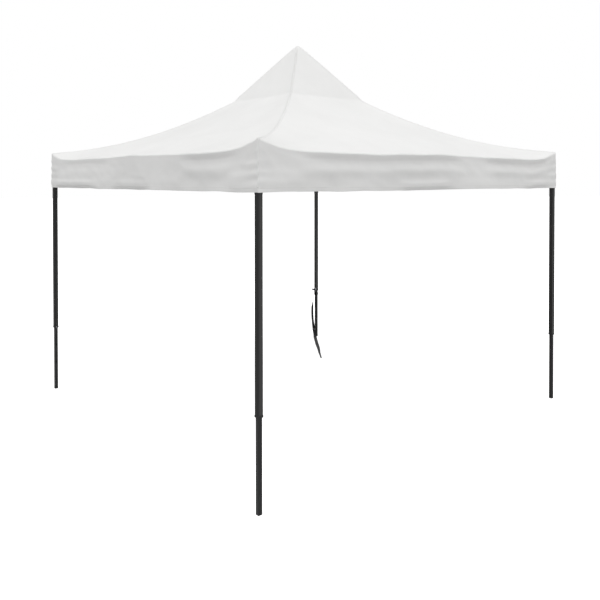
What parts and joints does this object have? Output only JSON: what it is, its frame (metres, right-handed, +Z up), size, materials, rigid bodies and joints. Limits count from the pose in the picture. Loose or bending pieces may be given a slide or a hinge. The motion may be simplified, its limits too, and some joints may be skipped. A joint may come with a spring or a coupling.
{
  "type": "pop up canopy",
  "caption": "Square pop up canopy with a peaked fabric roof and short valance on a folding scissor frame with telescopic legs.",
  "frame": {"origin": "on the ground under the peak, at the middle of the square of legs", "axes": "+Z up; +Y and -Y are two opposite sides of the canopy, +X and -X the other two"},
  "size_m": [2.9897, 2.984, 2.8951],
  "materials": {
    "powder_coat": "satin",
    "moulded_plastic": "matte",
    "button_steel": "satin",
    "canopy_cloth": "matte",
    "webbing": "matte"
  },
  "bodies": {
    "hub_upper": {"hub_upper": "moulded_plastic", "canopy_roof": "canopy_cloth", "canopy_valance": "canopy_cloth"},
    "centre_bar_upper_right": {"centre_bar_upper_right": "powder_coat"},
    "centre_bar_lower_right": {"centre_bar_lower_right": "powder_coat"},
    "middle_lower_right": {"middle_lower_right": "moulded_plastic"},
    "middle_upper_right": {"middle_upper_right": "moulded_plastic"},
    "hub_lower": {"hub_lower": "moulded_plastic", "centre_pole": "powder_coat"},
    "side_bar_lower_right_ahead": {"side_bar_lower_right_ahead": "powder_coat"},
    "side_bar_upper_right_ahead": {"side_bar_upper_right_ahead": "powder_coat"},
    "leg_back_right": {"outer_leg_back_right": "powder_coat"},
    "slider_back_right": {"slider_back_right": "moulded_plastic"},
    "inner_leg_back_right": {"inner_leg_back_right": "powder_coat"},
    "leg_button_back_right": {"leg_button_back_right": "button_steel"},
    "slider_lock_back_right": {"slider_lock_back_right": "moulded_plastic"},
    "side_bar_lower_right_behind": {"side_bar_lower_right_behind": "powder_coat"},
    "side_bar_upper_right_behind": {"side_bar_upper_right_behind": "powder_coat"},
    "centre_bar_upper_back": {"centre_bar_upper_back": "powder_coat"},
    "centre_bar_lower_back": {"centre_bar_lower_back": "powder_coat"},
    "middle_lower_back": {"middle_lower_back": "moulded_plastic"},
    "middle_upper_back": {"middle_upper_back": "moulded_plastic"},
    "side_bar_lower_back_ahead": {"side_bar_lower_back_ahead": "powder_coat"},
    "side_bar_upper_back_ahead": {"side_bar_upper_back_ahead": "powder_coat"},
    "leg_back_left": {"outer_leg_back_left": "powder_coat", "tie_strap": "webbing"},
    "slider_back_left": {"slider_back_left": "moulded_plastic"},
    "inner_leg_back_left": {"inner_leg_back_left": "powder_coat"},
    "leg_button_back_left": {"leg_button_back_left": "button_steel"},
    "slider_lock_back_left": {"slider_lock_back_left": "moulded_plastic"},
    "side_bar_lower_back_behind": {"side_bar_lower_back_behind": "powder_coat"},
    "side_bar_upper_back_behind": {"side_bar_upper_back_behind": "powder_coat"},
    "centre_bar_upper_left": {"centre_bar_upper_left": "powder_coat"},
    "centre_bar_lower_left": {"centre_bar_lower_left": "powder_coat"},
    "middle_lower_left": {"middle_lower_left": "moulded_plastic"},
    "middle_upper_left": {"middle_upper_left": "moulded_plastic"},
    "side_bar_lower_left_ahead": {"side_bar_lower_left_ahead": "powder_coat"},
    "side_bar_upper_left_ahead": {"side_bar_upper_left_ahead": "powder_coat"},
    "leg_front_left": {"outer_leg_front_left": "powder_coat"},
    "slider_front_left": {"slider_front_left": "moulded_plastic"},
    "inner_leg_front_left": {"inner_leg_front_left": "powder_coat"},
    "leg_button_front_left": {"leg_button_front_left": "button_steel"},
    "slider_lock_front_left": {"slider_lock_front_left": "moulded_plastic"},
    "side_bar_lower_left_behind": {"side_bar_lower_left_behind": "powder_coat"},
    "side_bar_upper_left_behind": {"side_bar_upper_left_behind": "powder_coat"},
    "centre_bar_upper_front": {"centre_bar_upper_front": "powder_coat"},
    "centre_bar_lower_front": {"centre_bar_lower_front": "powder_coat"},
    "middle_lower_front": {"middle_lower_front": "moulded_plastic"},
    "middle_upper_front": {"middle_upper_front": "moulded_plastic"},
    "side_bar_lower_front_ahead": {"side_bar_lower_front_ahead": "powder_coat"},
    "side_bar_upper_front_ahead": {"side_bar_upper_front_ahead": "powder_coat"},
    "leg_front_right": {"outer_leg_front_right": "powder_coat"},
    "slider_front_right": {"slider_front_right": "moulded_plastic"},
    "inner_leg_front_right": {"inner_leg_front_right": "powder_coat"},
    "leg_button_front_right": {"leg_button_front_right": "button_steel"},
    "slider_lock_front_right": {"slider_lock_front_right": "moulded_plastic"},
    "side_bar_lower_front_behind": {"side_bar_lower_front_behind": "powder_coat"},
    "side_bar_upper_front_behind": {"side_bar_upper_front_behind": "powder_coat"},
    "peak_rod": {"peak_rod": "powder_coat", "peak_knob": "moulded_plastic"}
  },
  "joints": [
    {"name": "fold", "type": "hinge", "parent": "hub_upper", "child": "centre_bar_upper_right", "pos_m": [0.05, 0, 1.93], "axis": [0, 1, 0], "range_deg": [0, 81], "deforming": ["canopy_roof", "canopy_valance"]},
    {"name": "centre_bar_lower_right_cross_pivot", "type": "hinge", "parent": "centre_bar_upper_right", "child": "centre_bar_lower_right", "pos_m": [0.735, 0, 1.8425], "axis": [0, 1, 0], "range_deg": [-162, 0]},
    {"name": "middle_lower_right_centre_pivot", "type": "hinge", "parent": "centre_bar_upper_right", "child": "middle_lower_right", "pos_m": [1.42, 0, 1.755], "axis": [0, 1, 0], "range_deg": [-81, 0]},
    {"name": "middle_upper_right_centre_pivot", "type": "hinge", "parent": "centre_bar_lower_right", "child": "middle_upper_right", "pos_m": [1.42, 0, 1.93], "axis": [0, 1, 0], "range_deg": [0, 81]},
    {"name": "hub_lower_pivot", "type": "hinge", "parent": "centre_bar_lower_right", "child": "hub_lower", "pos_m": [0.05, 0, 1.755], "axis": [0, 1, 0], "range_deg": [0, 81]},
    {"name": "side_bar_lower_right_ahead_middle_pivot", "type": "hinge", "parent": "middle_lower_right", "child": "side_bar_lower_right_ahead", "pos_m": [1.47, 0.05, 1.755], "axis": [-1, 0, 0], "range_deg": [-81, 0]},
    {"name": "side_bar_upper_right_ahead_cross_pivot", "type": "hinge", "parent": "side_bar_lower_right_ahead", "child": "side_bar_upper_right_ahead", "pos_m": [1.47, 0.735, 1.8425], "axis": [-1, 0, 0], "range_deg": [0, 162]},
    {"name": "leg_back_right_pivot", "type": "hinge", "parent": "side_bar_lower_right_ahead", "child": "leg_back_right", "pos_m": [1.47, 1.42, 1.93], "axis": [-1, 0, 0], "range_deg": [0, 81]},
    {"name": "slider_back_right_pivot", "type": "hinge", "parent": "side_bar_upper_right_ahead", "child": "slider_back_right", "pos_m": [1.47, 1.42, 1.755], "axis": [-1, 0, 0], "range_deg": [-81, 0]},
    {"name": "inner_leg_back_right_slide", "type": "slide", "parent": "leg_back_right", "child": "inner_leg_back_right", "axis": [0, 0, 1], "range_m": [0, 0.45]},
    {"name": "leg_button_back_right_press", "type": "slide", "parent": "leg_back_right", "child": "leg_button_back_right", "axis": [1, 0, 0], "range_m": [0, 0.003], "stiffness_N_per_m": 600},
    {"name": "slider_lock_back_right_pull", "type": "slide", "parent": "slider_back_right", "child": "slider_lock_back_right", "axis": [-1, 0, 0], "range_m": [0, 0.004], "stiffness_N_per_m": 600},
    {"name": "side_bar_lower_right_behind_middle_pivot", "type": "hinge", "parent": "middle_lower_right", "child": "side_bar_lower_right_behind", "pos_m": [1.47, -0.05, 1.755], "axis": [1, 0, 0], "range_deg": [-81, 0]},
    {"name": "side_bar_upper_right_behind_cross_pivot", "type": "hinge", "parent": "side_bar_lower_right_behind", "child": "side_bar_upper_right_behind", "pos_m": [1.47, -0.735, 1.8425], "axis": [1, 0, 0], "range_deg": [0, 162]},
    {"name": "centre_bar_upper_back_hub_pivot", "type": "hinge", "parent": "hub_upper", "child": "centre_bar_upper_back", "pos_m": [0, 0.05, 1.93], "axis": [-1, 0, 0], "range_deg": [0, 81]},
    {"name": "centre_bar_lower_back_cross_pivot", "type": "hinge", "parent": "centre_bar_upper_back", "child": "centre_bar_lower_back", "pos_m": [0, 0.735, 1.8425], "axis": [-1, 0, 0], "range_deg": [-162, 0]},
    {"name": "middle_lower_back_centre_pivot", "type": "hinge", "parent": "centre_bar_upper_back", "child": "middle_lower_back", "pos_m": [0, 1.42, 1.755], "axis": [-1, 0, 0], "range_deg": [-81, 0]},
    {"name": "middle_upper_back_centre_pivot", "type": "hinge", "parent": "centre_bar_lower_back", "child": "middle_upper_back", "pos_m": [0, 1.42, 1.93], "axis": [-1, 0, 0], "range_deg": [0, 81]},
    {"name": "side_bar_lower_back_ahead_middle_pivot", "type": "hinge", "parent": "middle_lower_back", "child": "side_bar_lower_back_ahead", "pos_m": [-0.05, 1.47, 1.755], "axis": [0, -1, 0], "range_deg": [-81, 0]},
    {"name": "side_bar_upper_back_ahead_cross_pivot", "type": "hinge", "parent": "side_bar_lower_back_ahead", "child": "side_bar_upper_back_ahead", "pos_m": [-0.735, 1.47, 1.8425], "axis": [0, -1, 0], "range_deg": [0, 162]},
    {"name": "leg_back_left_pivot", "type": "hinge", "parent": "side_bar_lower_back_ahead", "child": "leg_back_left", "pos_m": [-1.42, 1.47, 1.93], "axis": [0, -1, 0], "range_deg": [0, 81]},
    {"name": "slider_back_left_pivot", "type": "hinge", "parent": "side_bar_upper_back_ahead", "child": "slider_back_left", "pos_m": [-1.42, 1.47, 1.755], "axis": [0, -1, 0], "range_deg": [-81, 0]},
    {"name": "inner_leg_back_left_slide", "type": "slide", "parent": "leg_back_left", "child": "inner_leg_back_left", "axis": [0, 0, 1], "range_m": [0, 0.45]},
    {"name": "leg_button_back_left_press", "type": "slide", "parent": "leg_back_left", "child": "leg_button_back_left", "axis": [0, 1, 0], "range_m": [0, 0.003], "stiffness_N_per_m": 600},
    {"name": "slider_lock_back_left_pull", "type": "slide", "parent": "slider_back_left", "child": "slider_lock_back_left", "axis": [0, -1, 0], "range_m": [0, 0.004], "stiffness_N_per_m": 600},
    {"name": "side_bar_lower_back_behind_middle_pivot", "type": "hinge", "parent": "middle_lower_back", "child": "side_bar_lower_back_behind", "pos_m": [0.05, 1.47, 1.755], "axis": [0, 1, 0], "range_deg": [-81, 0]},
    {"name": "side_bar_upper_back_behind_cross_pivot", "type": "hinge", "parent": "side_bar_lower_back_behind", "child": "side_bar_upper_back_behind", "pos_m": [0.735, 1.47, 1.8425], "axis": [0, 1, 0], "range_deg": [0, 162]},
    {"name": "centre_bar_upper_left_hub_pivot", "type": "hinge", "parent": "hub_upper", "child": "centre_bar_upper_left", "pos_m": [-0.05, 0, 1.93], "axis": [0, -1, 0], "range_deg": [0, 81]},
    {"name": "centre_bar_lower_left_cross_pivot", "type": "hinge", "parent": "centre_bar_upper_left", "child": "centre_bar_lower_left", "pos_m": [-0.735, 0, 1.8425], "axis": [0, -1, 0], "range_deg": [-162, 0]},
    {"name": "middle_lower_left_centre_pivot", "type": "hinge", "parent": "centre_bar_upper_left", "child": "middle_lower_left", "pos_m": [-1.42, 0, 1.755], "axis": [0, -1, 0], "range_deg": [-81, 0]},
    {"name": "middle_upper_left_centre_pivot", "type": "hinge", "parent": "centre_bar_lower_left", "child": "middle_upper_left", "pos_m": [-1.42, 0, 1.93], "axis": [0, -1, 0], "range_deg": [0, 81]},
    {"name": "side_bar_lower_left_ahead_middle_pivot", "type": "hinge", "parent": "middle_lower_left", "child": "side_bar_lower_left_ahead", "pos_m": [-1.47, -0.05, 1.755], "axis": [1, 0, 0], "range_deg": [-81, 0]},
    {"name": "side_bar_upper_left_ahead_cross_pivot", "type": "hinge", "parent": "side_bar_lower_left_ahead", "child": "side_bar_upper_left_ahead", "pos_m": [-1.47, -0.735, 1.8425], "axis": [1, 0, 0], "range_deg": [0, 162]},
    {"name": "leg_front_left_pivot", "type": "hinge", "parent": "side_bar_lower_left_ahead", "child": "leg_front_left", "pos_m": [-1.47, -1.42, 1.93], "axis": [1, 0, 0], "range_deg": [0, 81]},
    {"name": "slider_front_left_pivot", "type": "hinge", "parent": "side_bar_upper_left_ahead", "child": "slider_front_left", "pos_m": [-1.47, -1.42, 1.755], "axis": [1, 0, 0], "range_deg": [-81, 0]},
    {"name": "inner_leg_front_left_slide", "type": "slide", "parent": "leg_front_left", "child": "inner_leg_front_left", "axis": [0, 0, 1], "range_m": [0, 0.45]},
    {"name": "leg_button_front_left_press", "type": "slide", "parent": "leg_front_left", "child": "leg_button_front_left", "axis": [-1, 0, 0], "range_m": [0, 0.003], "stiffness_N_per_m": 600},
    {"name": "slider_lock_front_left_pull", "type": "slide", "parent": "slider_front_left", "child": "slider_lock_front_left", "axis": [1, 0, 0], "range_m": [0, 0.004], "stiffness_N_per_m": 600},
    {"name": "side_bar_lower_left_behind_middle_pivot", "type": "hinge", "parent": "middle_lower_left", "child": "side_bar_lower_left_behind", "pos_m": [-1.47, 0.05, 1.755], "axis": [-1, 0, 0], "range_deg": [-81, 0]},
    {"name": "side_bar_upper_left_behind_cross_pivot", "type": "hinge", "parent": "side_bar_lower_left_behind", "child": "side_bar_upper_left_behind", "pos_m": [-1.47, 0.735, 1.8425], "axis": [-1, 0, 0], "range_deg": [0, 162]},
    {"name": "centre_bar_upper_front_hub_pivot", "type": "hinge", "parent": "hub_upper", "child": "centre_bar_upper_front", "pos_m": [0, -0.05, 1.93], "axis": [1, 0, 0], "range_deg": [0, 81]},
    {"name": "centre_bar_lower_front_cross_pivot", "type": "hinge", "parent": "centre_bar_upper_front", "child": "centre_bar_lower_front", "pos_m": [0, -0.735, 1.8425], "axis": [1, 0, 0], "range_deg": [-162, 0]},
    {"name": "middle_lower_front_centre_pivot", "type": "hinge", "parent": "centre_bar_upper_front", "child": "middle_lower_front", "pos_m": [0, -1.42, 1.755], "axis": [1, 0, 0], "range_deg": [-81, 0]},
    {"name": "middle_upper_front_centre_pivot", "type": "hinge", "parent": "centre_bar_lower_front", "child": "middle_upper_front", "pos_m": [0, -1.42, 1.93], "axis": [1, 0, 0], "range_deg": [0, 81]},
    {"name": "side_bar_lower_front_ahead_middle_pivot", "type": "hinge", "parent": "middle_lower_front", "child": "side_bar_lower_front_ahead", "pos_m": [0.05, -1.47, 1.755], "axis": [0, 1, 0], "range_deg": [-81, 0]},
    {"name": "side_bar_upper_front_ahead_cross_pivot", "type": "hinge", "parent": "side_bar_lower_front_ahead", "child": "side_bar_upper_front_ahead", "pos_m": [0.735, -1.47, 1.8425], "axis": [0, 1, 0], "range_deg": [0, 162]},
    {"name": "leg_front_right_pivot", "type": "hinge", "parent": "side_bar_lower_front_ahead", "child": "leg_front_right", "pos_m": [1.42, -1.47, 1.93], "axis": [0, 1, 0], "range_deg": [0, 81]},
    {"name": "slider_front_right_pivot", "type": "hinge", "parent": "side_bar_upper_front_ahead", "child": "slider_front_right", "pos_m": [1.42, -1.47, 1.755], "axis": [0, 1, 0], "range_deg": [-81, 0]},
    {"name": "inner_leg_front_right_slide", "type": "slide", "parent": "leg_front_right", "child": "inner_leg_front_right", "axis": [0, 0, 1], "range_m": [0, 0.45]},
    {"name": "leg_button_front_right_press", "type": "slide", "parent": "leg_front_right", "child": "leg_button_front_right", "axis": [0, -1, 0], "range_m": [0, 0.003], "stiffness_N_per_m": 600},
    {"name": "slider_lock_front_right_pull", "type": "slide", "parent": "slider_front_right", "child": "slider_lock_front_right", "axis": [0, 1, 0], "range_m": [0, 0.004], "stiffness_N_per_m": 600},
    {"name": "side_bar_lower_front_behind_middle_pivot", "type": "hinge", "parent": "middle_lower_front", "child": "side_bar_lower_front_behind", "pos_m": [-0.05, -1.47, 1.755], "axis": [0, -1, 0], "range_deg": [-81, 0]},
    {"name": "side_bar_upper_front_behind_cross_pivot", "type": "hinge", "parent": "side_bar_lower_front_behind", "child": "side_bar_upper_front_behind", "pos_m": [-0.735, -1.47, 1.8425], "axis": [0, -1, 0], "range_deg": [0, 162]},
    {"name": "peak_rod_slide", "type": "slide", "parent": "hub_lower", "child": "peak_rod", "axis": [0, 0, 1], "range_m": [0, 0.31819]}
  ],
  "couplings": [
    {"joint": "centre_bar_lower_right_cross_pivot", "follows": "fold", "ratio": -2},
    {"joint": "middle_lower_right_centre_pivot", "follows": "fold", "ratio": -1},
    {"joint": "middle_upper_right_centre_pivot", "follows": "fold", "ratio": 1},
    {"joint": "hub_lower_pivot", "follows": "fold", "ratio": 1},
    {"joint": "side_bar_lower_right_ahead_middle_pivot", "follows": "fold", "ratio": -1},
    {"joint": "side_bar_upper_right_ahead_cross_pivot", "follows": "fold", "ratio": 2},
    {"joint": "leg_back_right_pivot", "follows": "fold", "ratio": 1},
    {"joint": "slider_back_right_pivot", "follows": "fold", "ratio": -1},
    {"joint": "side_bar_lower_right_behind_middle_pivot", "follows": "fold", "ratio": -1},
    {"joint": "side_bar_upper_right_behind_cross_pivot", "follows": "fold", "ratio": 2},
    {"joint": "centre_bar_upper_back_hub_pivot", "follows": "fold", "ratio": 1},
    {"joint": "centre_bar_lower_back_cross_pivot", "follows": "fold", "ratio": -2},
    {"joint": "middle_lower_back_centre_pivot", "follows": "fold", "ratio": -1},
    {"joint": "middle_upper_back_centre_pivot", "follows": "fold", "ratio": 1},
    {"joint": "side_bar_lower_back_ahead_middle_pivot", "follows": "fold", "ratio": -1},
    {"joint": "side_bar_upper_back_ahead_cross_pivot", "follows": "fold", "ratio": 2},
    {"joint": "leg_back_left_pivot", "follows": "fold", "ratio": 1},
    {"joint": "slider_back_left_pivot", "follows": "fold", "ratio": -1},
    {"joint": "side_bar_lower_back_behind_middle_pivot", "follows": "fold", "ratio": -1},
    {"joint": "side_bar_upper_back_behind_cross_pivot", "follows": "fold", "ratio": 2},
    {"joint": "centre_bar_upper_left_hub_pivot", "follows": "fold", "ratio": 1},
    {"joint": "centre_bar_lower_left_cross_pivot", "follows": "fold", "ratio": -2},
    {"joint": "middle_lower_left_centre_pivot", "follows": "fold", "ratio": -1},
    {"joint": "middle_upper_left_centre_pivot", "follows": "fold", "ratio": 1},
    {"joint": "side_bar_lower_left_ahead_middle_pivot", "follows": "fold", "ratio": -1},
    {"joint": "side_bar_upper_left_ahead_cross_pivot", "follows": "fold", "ratio": 2},
    {"joint": "leg_front_left_pivot", "follows": "fold", "ratio": 1},
    {"joint": "slider_front_left_pivot", "follows": "fold", "ratio": -1},
    {"joint": "side_bar_lower_left_behind_middle_pivot", "follows": "fold", "ratio": -1},
    {"joint": "side_bar_upper_left_behind_cross_pivot", "follows": "fold", "ratio": 2},
    {"joint": "centre_bar_upper_front_hub_pivot", "follows": "fold", "ratio": 1},
    {"joint": "centre_bar_lower_front_cross_pivot", "follows": "fold", "ratio": -2},
    {"joint": "middle_lower_front_centre_pivot", "follows": "fold", "ratio": -1},
    {"joint": "middle_upper_front_centre_pivot", "follows": "fold", "ratio": 1},
    {"joint": "side_bar_lower_front_ahead_middle_pivot", "follows": "fold", "ratio": -1},
    {"joint": "side_bar_upper_front_ahead_cross_pivot", "follows": "fold", "ratio": 2},
    {"joint": "leg_front_right_pivot", "follows": "fold", "ratio": 1},
    {"joint": "slider_front_right_pivot", "follows": "fold", "ratio": -1},
    {"joint": "side_bar_lower_front_behind_middle_pivot", "follows": "fold", "ratio": -1},
    {"joint": "side_bar_upper_front_behind_cross_pivot", "follows": "fold", "ratio": 2},
    {"joint": "peak_rod_slide", "follows": "fold", "m_per_rad": 0.225}
  ]
}
